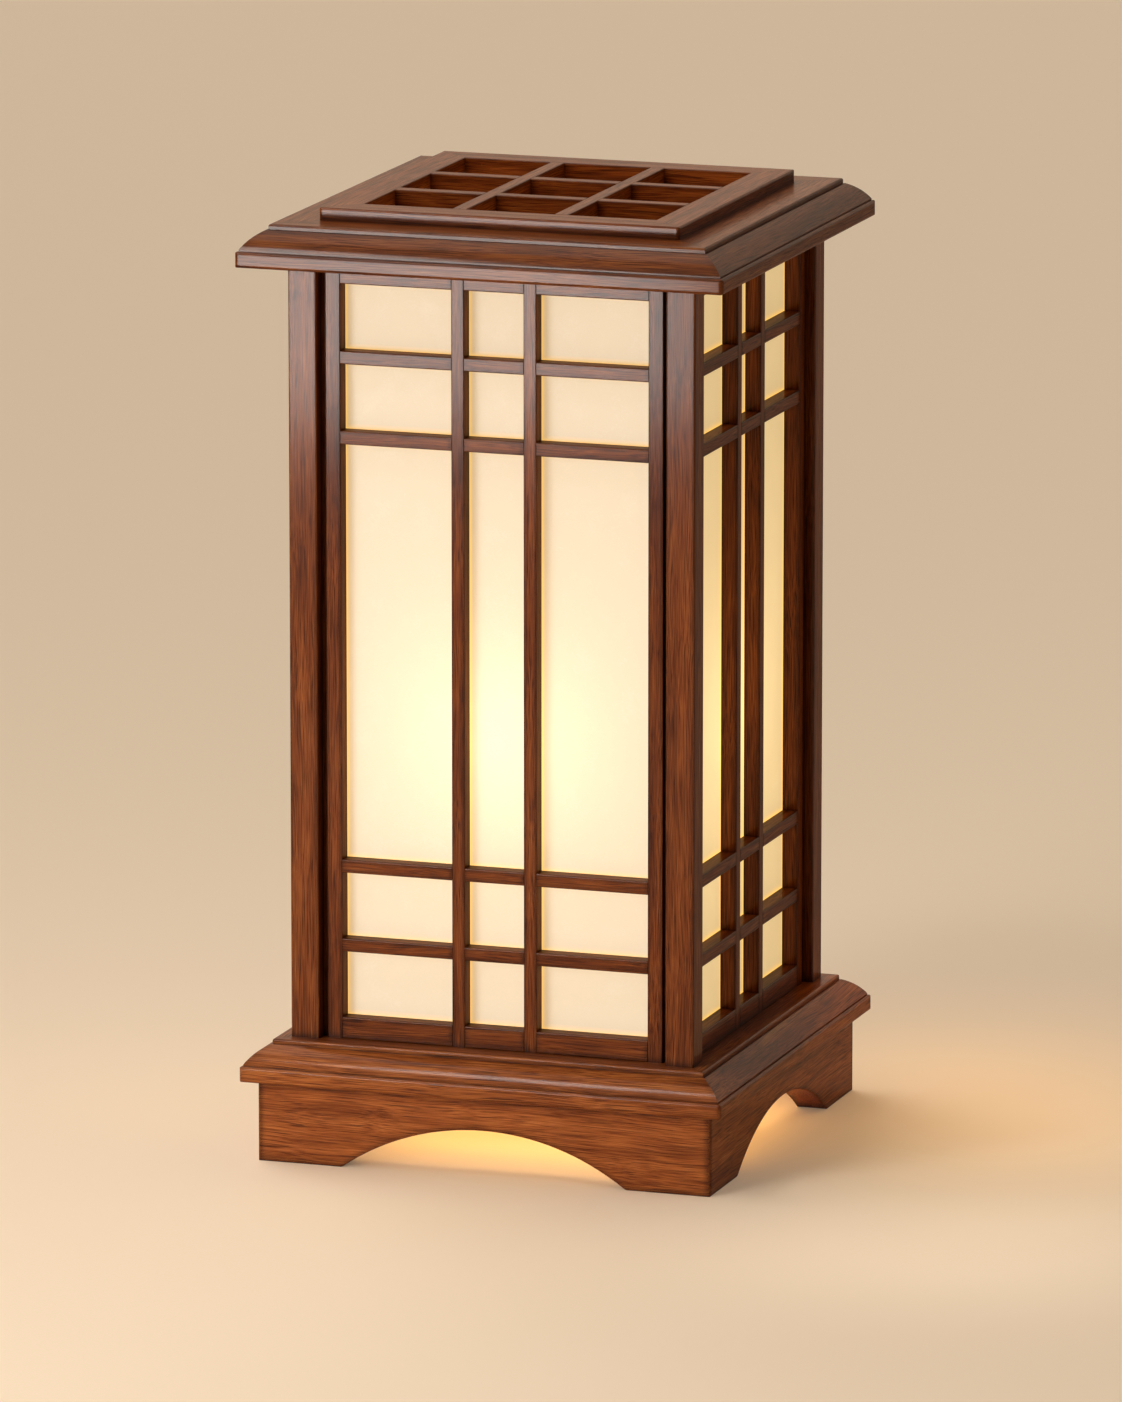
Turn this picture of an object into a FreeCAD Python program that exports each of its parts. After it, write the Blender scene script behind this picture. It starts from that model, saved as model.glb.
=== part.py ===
"""Andon table lamp: a square wooden lantern with paper panels, a moulded base and cap, and a lift-off grille.

Millimetres, +Z up. The origin is on the table under the middle of the lamp, and the front faces -Y.
"""
import math
import os

import FreeCAD
import Part

os.makedirs("parts", exist_ok=True)
V = FreeCAD.Vector

# Corner posts
body_width = 200.0            # across the outer faces of the posts
post_size = 14.0
post_length = 370.6
post_edge_radius = 0.8

# Skirt boards under the base moulding
skirt_overhang = 12.5         # skirt face outside the post face
skirt_height = 39.0
skirt_thickness = 15.0
skirt_corner_radius = 1.5
arch_span = 141.0             # at the table
arch_rise = 23.0
arch_foot_radius = 3.0
arch_edge_radius = 0.8

# Moulding, one stock for the base and the cap
moulding_overhang = 19.5      # moulding edge outside the post face
moulding_rail_width = 40.5
moulding_corner_radius = 2.0
band_height = 7.6
band_edge_radius = 1.4
nib_setback = 1.7             # small upright line between the band and the slope
nib_height = 0.8
slope_width = 10.0
slope_height = 8.4
slope_bulge = 0.9
ledge_width = 0.9
step_height = 2.6
step_edge_radius = 1.0

# Panels
panel_recess = 4.5            # panel face behind the post face
panel_depth = 8.0
panel_gap = 2.8               # shadow gap beside each post
stile_width = 7.4
tongue_thickness = 3.0
tongue_setback = 2.5          # tongue behind the panel face
groove_depth = 3.0
top_rail_height = 8.9
bottom_rail_height = 10.3
upright_width = 6.4
upright_offset = 17.8         # upright centre from the panel's middle
bar_height = 6.3
cell_height = 31.8            # clear height of the two small cells at each end
lattice_edge_radius = 0.5
tenon_length = 4.0
tenon_thickness = 3.0
paper_thickness = 0.5
paper_lap = 5.0               # paper glued behind the frame by this much

# Top grille
grille_bearing = 9.5          # flange resting on the cap
grille_rise = 6.0             # flange above the cap
grille_lip_thickness = 6.6
grille_lip_depth = 8.0
grille_corner_radius = 1.5
grille_edge_radius = 1.0
slat_width = 6.9
slat_edge_radius = 0.5

# Dowels
dowel_radius = 3.0
dowel_length = 24.0

# Lamp bar and its screws
bar_width = 40.0
bar_thickness = 12.0
bar_end_gap = 1.5
bar_edge_radius = 0.8
screw_shank_radius = 1.9
screw_head_radius = 3.8
screw_head_height = 2.4
screw_length = 22.0
screw_slot_width = 1.0
screw_slot_depth = 0.9
screw_end_distance = 8.0
screw_pair_spacing = 24.0

# Threaded tube, nuts and cord bush
tube_radius = 5.0
tube_bore_radius = 3.9
tube_length = 95.0
tube_below_bar = 8.0
nut_across_flats = 14.0
nut_height = 4.0
nut_flange_radius = 9.5
nut_flange_height = 1.2
bush_radius = 7.0
bush_bore_radius = 3.5
bush_floor = 5.0              # bush below the end of the tube
bush_collar = 4.0             # bush round the tube
bush_edge_radius = 1.0

# Lampholder
holder_radius = 19.5
holder_wall = 3.6
holder_boss_radius = 9.0
holder_boss_height = 6.0
holder_boss_edge_radius = 1.0
holder_dome_height = 8.0
holder_dome_edge_radius = 3.0
holder_rim_height = 6.0
holder_wiring_radius = 12.0
holder_wiring_depth = 5.0
holder_thread_length = 8.0    # tube inside the lower cap
holder_shell_height = 33.0
holder_edge_radius = 1.5
insulator_height = 10.0
screw_shell_bore = 13.5
screw_shell_wall = 0.6
screw_shell_height = 22.0
contact_radius = 4.0
contact_height = 1.6
contact_edge_radius = 0.8

# Bulb
bulb_tip_radius = 4.4
bulb_tip_height = 1.6
bulb_tip_edge_radius = 0.6
bulb_foot_radius = 10.6
bulb_foot_height = 3.6
bulb_thread_radius = 13.1
bulb_thread_depth = 0.8
bulb_thread_pitch = 3.62
bulb_thread_turns = 4
bulb_thread_round = 0.9
bulb_cap_wall = 0.7
bulb_collar_height = 3.6
bulb_neck_length = 10.0
bulb_globe_radius = 30.0
bulb_shoulder_radius = 30.0
bulb_glass_wall = 0.8
stem_radius = 3.4
stem_height = 36.0
stem_flare_rim = 1.5
stem_flare_height = 9.0
stem_edge_radius = 1.2
filament_radius = 0.9
filament_length = 32.0
filament_lean = 10.0          # degrees from upright
filament_count = 4

# Clearances
glue_gap = 0.1                # round a glued dowel, tenon or tongue, on each side
tongue_end_gap = 0.3
grille_gap = 0.5              # lip inside the cap's opening
thread_gap = 0.1              # round a threaded piece
screw_gap = 0.1
contact_gap = 0.1
bulb_joint_gap = 0.1

# How near an edge lies to a face that it is picked by
pick_margin = 1e-3

# Levels
base_bottom = skirt_height
moulding_height = band_height + nib_height + slope_height + step_height
base_top = base_bottom + moulding_height
cap_bottom = base_top + post_length
cap_top = cap_bottom + moulding_height
grille_top = cap_top + grille_rise
grille_bottom = cap_top - grille_lip_depth

# Half widths, from the middle of the lamp
body_half = body_width / 2
skirt_half = body_half + skirt_overhang
moulding_half = body_half + moulding_overhang
opening_half = moulding_half - moulding_rail_width
post_inner = body_half - post_size
post_centre = body_half - post_size / 2
grille_half = opening_half + grille_bearing
lip_half = opening_half - grille_gap
grille_inner = lip_half - grille_lip_thickness
slat_offset = (2 * grille_inner - 2 * slat_width) / 6 + slat_width / 2

SIDES = ("front", "right", "back", "left")
CORNERS = ("front_left", "front_right", "back_right", "back_left")


def box(x0, x1, y0, y1, z0, z1):
    return Part.makeBox(x1 - x0, y1 - y0, z1 - z0, V(x0, y0, z0))


def rod(radius, x, y, z0, z1):
    return Part.makeCylinder(radius, z1 - z0, V(x, y, z0))


def turned(shape, quarter):
    """A copy turned about the lamp's axis by quarter turns: front, right, back, left."""
    copy = shape.copy()
    copy.rotate(V(0, 0, 0), V(0, 0, 1), 90 * quarter)
    return copy


def save(name, solids):
    shape = solids[0] if len(solids) == 1 else Part.makeCompound(solids)
    shape.exportStep(f"parts/{name}.step")


def rounded_edges(corners, place):
    """Edges of a closed outline. A corner is (u, w), (u, w, radius), or (u, w, 0, bulge) where the next
    side is an arc that stands out to its right by the bulge. place turns (u, w) into a point in space."""
    count = len(corners)
    point = [V(c[0], c[1], 0) for c in corners]
    radius = [c[2] if len(c) > 2 else 0.0 for c in corners]
    bulge = [c[3] if len(c) > 3 else 0.0 for c in corners]
    arrive = []
    leave = []
    middle = []
    for i in range(count):
        to_last = (point[i - 1] - point[i]).normalize()
        to_next = (point[(i + 1) % count] - point[i]).normalize()
        half_angle = to_last.getAngle(to_next) / 2
        reach = radius[i] / math.tan(half_angle) if radius[i] else 0.0
        arrive.append(point[i] + to_last * reach)
        leave.append(point[i] + to_next * reach)
        inwards = radius[i] / math.sin(half_angle) - radius[i] if radius[i] else 0.0
        middle.append(point[i] + (to_last + to_next).normalize() * inwards if radius[i] else point[i])
    edges = []
    for i in range(count):
        after = (i + 1) % count
        if radius[i]:
            edges.append(Part.Arc(place(arrive[i]), place(middle[i]), place(leave[i])).toShape())
        if bulge[i]:
            along = (arrive[after] - leave[i]).normalize()
            crown = (leave[i] + arrive[after]) / 2 + V(along.y, -along.x, 0) * bulge[i]
            edges.append(Part.Arc(place(leave[i]), place(crown), place(arrive[after])).toShape())
        elif (arrive[after] - leave[i]).Length > pick_margin:
            edges.append(Part.LineSegment(place(leave[i]), place(arrive[after])).toShape())
    return edges


def prism(corners, axis, start, end):
    """An outline pushed along an axis. The outline's u and w are the other two axes, in X, Y, Z order."""
    places = {
        "x": lambda p: V(start, p.x, p.y),
        "y": lambda p: V(p.x, start, p.y),
        "z": lambda p: V(p.x, p.y, start),
    }
    pushes = {"x": V(end - start, 0, 0), "y": V(0, end - start, 0), "z": V(0, 0, end - start)}
    return Part.Face(Part.Wire(rounded_edges(corners, places[axis]))).extrude(pushes[axis])


def spun(corners):
    """An outline of radius and height turned about the lamp's axis."""
    wire = Part.Wire(rounded_edges(corners, lambda p: V(p.x, 0, p.y)))
    return Part.Face(wire).revolve(V(0, 0, 0), V(0, 0, 1), 360)


def strip(u0, u1, w0, w1, radius=0.0):
    """Corners of a rectangle, all rounded alike."""
    return [(u0, w0, radius), (u1, w0, radius), (u1, w1, radius), (u0, w1, radius)]


def mitre_plan(outer, inner, z0, z1):
    """The plan of the front side of a mitred square frame, as a solid to cut a rail with."""
    return prism([(-outer, -outer), (outer, -outer), (inner, -inner), (-inner, -inner)], "z", z0, z1)


def rounded_block(half, radius, z0, z1):
    return prism(strip(-half, half, -half, half, radius), "z", z0, z1)


def cut_all(shape, tools):
    for tool in tools:
        shape = shape.cut(tool)
    return shape


def dowel(x, y, level, grow=0.0):
    """A dowel half below and half above a level, or the hole for it."""
    return rod(dowel_radius + grow, x, y, level - dowel_length / 2 - grow, level + dowel_length / 2 + grow)


def skirt_board():
    """One board of the skirt, with its arch."""
    board = prism(
        [
            (-skirt_half, 0),
            (-arch_span / 2, 0, 0, -arch_rise),
            (arch_span / 2, 0),
            (skirt_half, 0),
            (skirt_half, skirt_height),
            (-skirt_half, skirt_height),
        ],
        "y", -skirt_half, -skirt_half + skirt_thickness,
    )
    at_table = [e for e in board.Edges if e.BoundBox.ZMax < pick_margin and e.BoundBox.XLength < pick_margin]
    arch_feet = [e for e in at_table if abs(e.CenterOfMass.x) < skirt_half - pick_margin]
    board = board.makeFillet(arch_foot_radius, arch_feet)
    front = [e for e in board.Edges if e.BoundBox.YMax < -skirt_half + pick_margin]
    below_top = [e for e in front if e.BoundBox.ZMax < skirt_height - pick_margin]
    board = board.makeFillet(arch_edge_radius, [e for e in below_top if e.BoundBox.XLength > pick_margin])
    plan = mitre_plan(skirt_half, skirt_half - skirt_thickness, 0, skirt_height)
    return board.common(plan).common(rounded_block(skirt_half, skirt_corner_radius, 0, skirt_height))


def moulding_rail(bottom):
    """One mitred rail of the moulding that trims the base and the cap."""
    face = -moulding_half
    nib = face + nib_setback
    slope_low = bottom + band_height + nib_height
    slope_high = slope_low + slope_height
    step = nib + slope_width + ledge_width
    profile = [
        (-opening_half, bottom),
        (-opening_half, bottom + moulding_height),
        (step, bottom + moulding_height, step_edge_radius),
        (step, slope_high),
        (nib + slope_width, slope_high, 0, slope_bulge),
        (nib, slope_low),
        (nib, bottom + band_height),
        (face, bottom + band_height, band_edge_radius),
        (face, bottom, band_edge_radius),
    ]
    rail = prism(profile, "x", -moulding_half, moulding_half)
    top = bottom + moulding_height
    rail = rail.common(mitre_plan(moulding_half, opening_half, bottom, top))
    return rail.common(rounded_block(moulding_half, moulding_corner_radius, bottom, top))


def post():
    """The front left post, with a groove for the tongue of each panel beside it."""
    section = strip(-body_half, -post_inner, -body_half, -post_inner, post_edge_radius)
    solid = prism(section, "z", base_top, cap_bottom)
    near = -body_half + panel_recess + tongue_setback - glue_gap
    far = near + tongue_thickness + 2 * glue_gap
    bottom = -post_inner - groove_depth
    solid = solid.cut(box(bottom, -post_inner, near, far, base_top, cap_bottom))
    solid = solid.cut(box(near, far, bottom, -post_inner, base_top, cap_bottom))
    return cut_all(solid, [dowel(-post_centre, -post_centre, z, glue_gap) for z in (base_top, cap_bottom)])


def base_and_cap():
    """Skirt boards, moulding rails, posts and dowels."""
    corners = [(x, y) for x in (-post_centre, post_centre) for y in (-post_centre, post_centre)]
    board = skirt_board()
    base_holes = [dowel(x, y, base_top, glue_gap) for x, y in corners] + bar_screws(screw_gap)
    cap_holes = [dowel(x, y, cap_bottom, glue_gap) for x, y in corners]
    base_rail = moulding_rail(base_bottom)
    cap_rail = moulding_rail(cap_bottom)
    upright = post()
    for quarter, side in enumerate(SIDES):
        save(f"skirt_{side}", [turned(board, quarter)])
        save(f"base_rail_{side}", [cut_all(turned(base_rail, quarter), base_holes)])
        save(f"cap_rail_{side}", [cut_all(turned(cap_rail, quarter), cap_holes)])
    for quarter, corner in enumerate(CORNERS):
        save(f"post_{corner}", [turned(upright, quarter)])
    save("post_dowels", [dowel(x, y, z) for x, y in corners for z in (base_top, cap_bottom)])


def panel():
    """The front panel: stiles, rails, uprights, bars and paper, in that order."""
    face = -body_half + panel_recess
    back = face + panel_depth
    middle = (face + back) / 2
    outer = post_inner - panel_gap
    inner = outer - stile_width
    low = base_top + bottom_rail_height
    high = cap_bottom - top_rail_height
    edge = lattice_edge_radius

    step = cell_height + bar_height
    bar_bottoms = [low + cell_height, low + cell_height + step, high - 2 * step, high - step]
    bar_levels = [(z, z + bar_height) for z in bar_bottoms]
    rail_levels = [(base_top, low), (high, cap_bottom)]
    tenon = (middle - tenon_thickness / 2, middle + tenon_thickness / 2)
    socket = (tenon[0] - glue_gap, tenon[1] + glue_gap)
    reach = tenon_length + glue_gap

    half = upright_width / 2
    upright_sides = [(x - half, x + half) for x in (-upright_offset, upright_offset)]

    def rail(z0, z1):
        solid = prism(strip(face, back, z0, z1, edge), "x", -inner, inner)
        quarter = (z1 - z0) / 4
        length = inner + tenon_length
        solid = solid.fuse(box(-length, length, *tenon, z0 + quarter, z1 - quarter))
        return cut_all(solid, [box(*sides, face, middle, z0, z1) for sides in upright_sides])

    def rail_sockets(z0, z1):
        quarter = (z1 - z0) / 4 - glue_gap
        return box(-inner - reach, inner + reach, *socket, z0 + quarter, z1 - quarter)

    stiles = []
    sockets = [rail_sockets(*level) for level in rail_levels + bar_levels]
    for sign in (-1, 1):
        edges = sorted((sign * inner, sign * outer))
        stile = prism(strip(*edges, face, back, edge), "z", base_top, cap_bottom)
        tongue_x = sorted((sign * (outer - edge), sign * (post_inner + groove_depth - tongue_end_gap)))
        tongue_y = face + tongue_setback
        stile = stile.fuse(box(*tongue_x, tongue_y, tongue_y + tongue_thickness, base_top, cap_bottom))
        stiles.append(cut_all(stile, sockets))

    uprights = []
    for sides in upright_sides:
        solid = prism(strip(*sides, face, back, edge), "z", base_top, cap_bottom)
        laps = [box(*sides, middle, back, *level) for level in rail_levels + bar_levels]
        uprights.append(cut_all(solid, laps))

    rails = [rail(*level) for level in rail_levels]
    bars = [rail(*level) for level in bar_levels]
    paper = box(
        -inner - paper_lap, inner + paper_lap, back, back + paper_thickness, low - paper_lap, high + paper_lap
    )
    return {"stiles": stiles, "rails": rails, "uprights": uprights, "bars": bars, "paper": [paper]}


def panels():
    pieces = panel()
    for quarter, side in enumerate(SIDES):
        for name, solids in pieces.items():
            save(f"panel_{side}_{name}", [turned(s, quarter) for s in solids])


def grille():
    """The lift-off top: a rebated frame and four half-lapped slats."""
    rail = prism(
        [
            (-grille_half, cap_top),
            (-lip_half, cap_top),
            (-lip_half, grille_bottom),
            (-grille_inner, grille_bottom),
            (-grille_inner, grille_top, slat_edge_radius),
            (-grille_half, grille_top, grille_edge_radius),
        ],
        "x", -grille_half, grille_half,
    )
    rail = rail.common(mitre_plan(grille_half, grille_inner, grille_bottom, grille_top))
    rail = rail.common(rounded_block(grille_half, grille_corner_radius, grille_bottom, grille_top))

    half = slat_width / 2
    quarter = slat_width / 4
    middle = (grille_bottom + grille_top) / 2
    low_third = grille_bottom + (grille_top - grille_bottom) / 3
    high_third = grille_top - (grille_top - grille_bottom) / 3
    reach = tenon_length + glue_gap

    def tenon(x, length, grow):
        return box(
            x - quarter - grow, x + quarter + grow, -grille_inner - length, grille_inner + length,
            low_third - grow, high_third + grow,
        )

    slats = []
    sockets = []
    for x in (-slat_offset, slat_offset):
        slat = prism(
            [
                (x - half, grille_bottom),
                (x + half, grille_bottom),
                (x + half, grille_top, slat_edge_radius),
                (x - half, grille_top, slat_edge_radius),
            ],
            "y", -grille_inner, grille_inner,
        )
        slats.append(slat.fuse(tenon(x, tenon_length, 0.0)))
        sockets.append(tenon(x, reach, glue_gap))
    sockets += [turned(s, 1) for s in sockets]
    for quarter_turn, side in enumerate(SIDES):
        save(f"grille_rail_{side}", [cut_all(turned(rail, quarter_turn), sockets)])

    crossings = [(x, y) for x in (-slat_offset, slat_offset) for y in (-slat_offset, slat_offset)]
    lower = [box(x - half, x + half, y - half, y + half, grille_bottom, middle) for x, y in crossings]
    upper = [box(x - half, x + half, y - half, y + half, middle, grille_top) for x, y in crossings]
    for name, slat in zip(("left", "right"), slats):
        save(f"grille_slat_{name}", [cut_all(slat, lower)])
    for name, slat in zip(("front", "back"), slats):
        save(f"grille_slat_{name}", [cut_all(turned(slat, 1), upper)])


bar_top = base_bottom
bar_bottom = bar_top - bar_thickness
bar_half = skirt_half - skirt_thickness - bar_end_gap


def screw(grow=0.0):
    """One countersunk screw standing head down on the lamp's axis, or the hole for it."""
    head = bar_bottom - grow
    solid = spun(
        [
            (0, head),
            (screw_head_radius + grow, head),
            (screw_shank_radius + grow, bar_bottom + screw_head_height),
            (screw_shank_radius + grow, bar_bottom + screw_length - screw_shank_radius),
            (0, bar_bottom + screw_length + grow),
        ]
    )
    if grow:
        return solid
    slot = box(
        -screw_head_radius, screw_head_radius, -screw_slot_width / 2, screw_slot_width / 2,
        head, head + screw_slot_depth,
    )
    return solid.cut(slot)


def bar_screws(grow=0.0):
    screws = []
    for x in (-bar_half + screw_end_distance, bar_half - screw_end_distance):
        for y in (-screw_pair_spacing / 2, screw_pair_spacing / 2):
            one = screw(grow)
            one.translate(V(x, y, 0))
            screws.append(one)
    return screws


tube_bottom = bar_bottom - tube_below_bar
tube_top = tube_bottom + tube_length


def lamp_bar():
    """The bar across the base opening, its screws, the tube through it, the nuts and the cord bush."""
    section = strip(-bar_width / 2, bar_width / 2, bar_bottom, bar_top, bar_edge_radius)
    bar = prism(section, "x", -bar_half, bar_half)
    bar = bar.cut(rod(tube_radius + thread_gap, 0, 0, bar_bottom, bar_top))
    save("lamp_bar", [cut_all(bar, bar_screws(screw_gap))])
    save("lamp_bar_screws", bar_screws())

    tube = rod(tube_radius, 0, 0, tube_bottom, tube_top)
    save("lamp_tube", [tube.cut(rod(tube_bore_radius, 0, 0, tube_bottom, tube_top))])

    corner = nut_across_flats / 2 / math.cos(math.pi / 6)
    hexagon = [(corner * math.cos(k * math.pi / 3), corner * math.sin(k * math.pi / 3)) for k in range(6)]
    nuts = []
    for level, way in ((bar_top, 1), (bar_bottom, -1)):
        hexagon_end = level + way * nut_height
        nut = prism(hexagon, "z", min(level, hexagon_end), max(level, hexagon_end))
        flange_end = level + way * nut_flange_height
        flange = rod(nut_flange_radius, 0, 0, min(level, flange_end), max(level, flange_end))
        bore = rod(tube_radius + thread_gap, 0, 0, bar_bottom - nut_height, bar_top + nut_height)
        nuts.append(nut.fuse(flange).cut(bore))
    save("tube_nuts", nuts)

    bush = spun(
        [
            (bush_bore_radius, tube_bottom - bush_floor),
            (bush_radius, tube_bottom - bush_floor, bush_edge_radius),
            (bush_radius, tube_bottom + bush_collar),
            (tube_radius + thread_gap, tube_bottom + bush_collar),
            (tube_radius + thread_gap, tube_bottom),
            (bush_bore_radius, tube_bottom),
        ]
    )
    save("cord_bush", [bush])


cap_floor = tube_top - holder_thread_length
dome_bottom = cap_floor + holder_boss_height
rim_bottom = dome_bottom + holder_dome_height
rim_top = rim_bottom + holder_rim_height
insulator_bottom = rim_top - holder_rim_height
insulator_top = insulator_bottom + insulator_height
holder_bore = holder_radius - holder_wall
contact_top = insulator_top + contact_height


def lampholder():
    """Lower cap, shell, insulator, screw shell and centre contact."""
    lower_cap = spun(
        [
            (tube_radius + thread_gap, cap_floor),
            (holder_boss_radius, cap_floor, holder_boss_edge_radius),
            (holder_boss_radius, dome_bottom),
            (holder_radius, rim_bottom, holder_dome_edge_radius),
            (holder_radius, rim_top),
            (holder_bore, rim_top),
            (holder_bore, insulator_bottom),
            (holder_wiring_radius, insulator_bottom),
            (holder_wiring_radius, insulator_bottom - holder_wiring_depth),
            (tube_radius + thread_gap, insulator_bottom - holder_wiring_depth),
        ]
    )
    save("holder_cap", [lower_cap])
    shell_top = rim_top + holder_shell_height
    shell = spun(
        [
            (holder_bore, rim_top),
            (holder_radius, rim_top),
            (holder_radius, shell_top, holder_edge_radius),
            (holder_bore, shell_top, holder_edge_radius),
        ]
    )
    save("holder_shell", [shell])
    save("holder_insulator", [rod(holder_bore - thread_gap, 0, 0, insulator_bottom, insulator_top)])
    liner_top = insulator_top + screw_shell_height
    liner = rod(screw_shell_bore + screw_shell_wall, 0, 0, insulator_top, liner_top)
    save("screw_shell", [liner.cut(rod(screw_shell_bore, 0, 0, insulator_top, liner_top))])
    contact = spun(
        [
            (0, insulator_top),
            (contact_radius, insulator_top),
            (contact_radius, contact_top, contact_edge_radius),
            (0, contact_top),
        ]
    )
    save("centre_contact", [contact])


tip_bottom = contact_top + contact_gap
foot_top = tip_bottom + bulb_tip_height + bulb_foot_height
thread_bottom = foot_top + bulb_joint_gap
thread_top = thread_bottom + bulb_thread_turns * bulb_thread_pitch
neck_bottom = thread_top + bulb_collar_height
shoulder_bottom = neck_bottom + bulb_neck_length


def bulb_outline(inset):
    """Edges of the envelope's outside, or of its inside when inset by the glass."""
    neck = bulb_thread_radius - inset
    globe = bulb_globe_radius - inset
    shoulder = bulb_shoulder_radius + inset
    drop = math.sqrt((globe + shoulder) ** 2 - (neck + shoulder) ** 2)
    centre = shoulder_bottom + drop
    turn = math.atan2(drop, neck + shoulder)
    swing = V(-math.cos(turn / 2), 0, math.sin(turn / 2)) * shoulder
    shoulder_middle = V(neck + shoulder, 0, shoulder_bottom) + swing
    meeting = V(globe * math.cos(turn), 0, centre - globe * math.sin(turn))
    start = V(neck, 0, neck_bottom)
    return [
        Part.LineSegment(start, V(neck, 0, shoulder_bottom)).toShape(),
        Part.Arc(V(neck, 0, shoulder_bottom), shoulder_middle, meeting).toShape(),
        Part.Arc(meeting, V(globe, 0, centre), V(0, 0, centre + globe)).toShape(),
    ]


def bulb():
    """Foot contact, screw cap, glass envelope, stem and filaments."""
    foot = spun(
        [
            (0, tip_bottom),
            (bulb_tip_radius, tip_bottom, bulb_tip_edge_radius),
            (bulb_tip_radius, tip_bottom + bulb_tip_height),
            (bulb_foot_radius, foot_top),
            (0, foot_top),
        ]
    )
    save("bulb_contact", [foot])

    root = bulb_thread_radius - bulb_thread_depth
    bore = root - bulb_cap_wall
    outline = [(bore, thread_bottom), (root, thread_bottom)]
    for turn in range(bulb_thread_turns):
        level = thread_bottom + turn * bulb_thread_pitch
        outline.append((bulb_thread_radius, level + bulb_thread_pitch / 2, bulb_thread_round))
        outline.append((root, level + bulb_thread_pitch, bulb_thread_round))
    outline.append((bulb_thread_radius, thread_top + bulb_thread_depth))
    outline.append((bulb_thread_radius, neck_bottom))
    outline.append((bore, neck_bottom))
    save("bulb_cap", [spun(outline)])

    outside = bulb_outline(0.0)
    inside = bulb_outline(bulb_glass_wall)
    crown = Part.LineSegment(outside[-1].lastVertex().Point, inside[-1].lastVertex().Point).toShape()
    foot_ring = Part.LineSegment(inside[0].firstVertex().Point, outside[0].firstVertex().Point).toShape()
    wire = Part.Wire(Part.__sortEdges__(outside + [crown] + inside + [foot_ring]))
    save("bulb_glass", [Part.Face(wire).revolve(V(0, 0, 0), V(0, 0, 1), 360)])

    flare = bulb_thread_radius - bulb_glass_wall - thread_gap
    stem_top = neck_bottom + stem_height
    stem = spun(
        [
            (0, neck_bottom),
            (flare, neck_bottom),
            (flare, neck_bottom + stem_flare_rim),
            (stem_radius, neck_bottom + stem_flare_height),
            (stem_radius, stem_top, stem_edge_radius),
            (0, stem_top),
        ]
    )
    save("bulb_stem", [stem])

    filaments = []
    lowest = filament_radius * math.sin(math.radians(filament_lean))
    for k in range(filament_count):
        filament = Part.makeCylinder(filament_radius, filament_length, V(0, 0, 0))
        filament.rotate(V(0, 0, 0), V(0, 1, 0), filament_lean)
        filament.translate(V(stem_radius / 2, 0, stem_top + contact_gap + lowest))
        filament.rotate(V(0, 0, 0), V(0, 0, 1), 360 * k / filament_count)
        filaments.append(filament)
    save("bulb_filaments", filaments)


base_and_cap()
panels()
grille()
lamp_bar()
lampholder()
bulb()
print("lamp", 2 * moulding_half, "mm square,", grille_top, "mm high")
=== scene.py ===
# %% [markdown]
# # An andon table lamp
# An andon is a square wooden lantern whose sides are paper glued behind a lattice, with the light
# inside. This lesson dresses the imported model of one: its wooden pieces keep their solids, and get a
# stained and varnished wood; the paper, which a solid can only hint at, is made again as four thin
# sheets that glow.

# %% The frame
import math

import bmesh
import bpy
from mathutils import Matrix, Vector, noise


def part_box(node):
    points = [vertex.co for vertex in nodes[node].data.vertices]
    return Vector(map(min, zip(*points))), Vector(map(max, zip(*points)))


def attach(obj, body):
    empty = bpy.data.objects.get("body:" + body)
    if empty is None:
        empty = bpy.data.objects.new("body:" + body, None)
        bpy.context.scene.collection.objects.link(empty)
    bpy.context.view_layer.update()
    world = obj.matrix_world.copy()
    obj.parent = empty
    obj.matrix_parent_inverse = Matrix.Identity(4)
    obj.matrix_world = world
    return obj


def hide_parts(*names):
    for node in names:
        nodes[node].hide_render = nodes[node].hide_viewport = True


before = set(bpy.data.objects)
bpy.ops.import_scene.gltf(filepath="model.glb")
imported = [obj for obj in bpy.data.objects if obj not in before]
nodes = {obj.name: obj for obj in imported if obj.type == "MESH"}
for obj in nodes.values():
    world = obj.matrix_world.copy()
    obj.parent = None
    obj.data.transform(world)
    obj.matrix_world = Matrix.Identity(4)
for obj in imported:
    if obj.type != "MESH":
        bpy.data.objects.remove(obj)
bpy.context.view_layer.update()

# %% [markdown]
# ## The camera
# The photograph has almost parallel edges, so it was taken with a long lens from far away. The angles,
# the distance and the focal length were found by fitting the lamp's corners to the picture. Blender
# gives the lens for a sensor 36 mm long, and the picture's long side is its height.

# %% Camera
PHOTO_HEIGHT = 1402
SENSOR = 36.0
FOCAL_PIXELS = 11772.0
CAMERA_AZIMUTH = math.radians(18.64)
CAMERA_ELEVATION = math.radians(11.77)
CAMERA_DISTANCE = 5.6005
CAMERA_TARGET = Vector((0.0008, 0.0003, 0.2074))
FARTHEST_SEEN = 60

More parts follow.
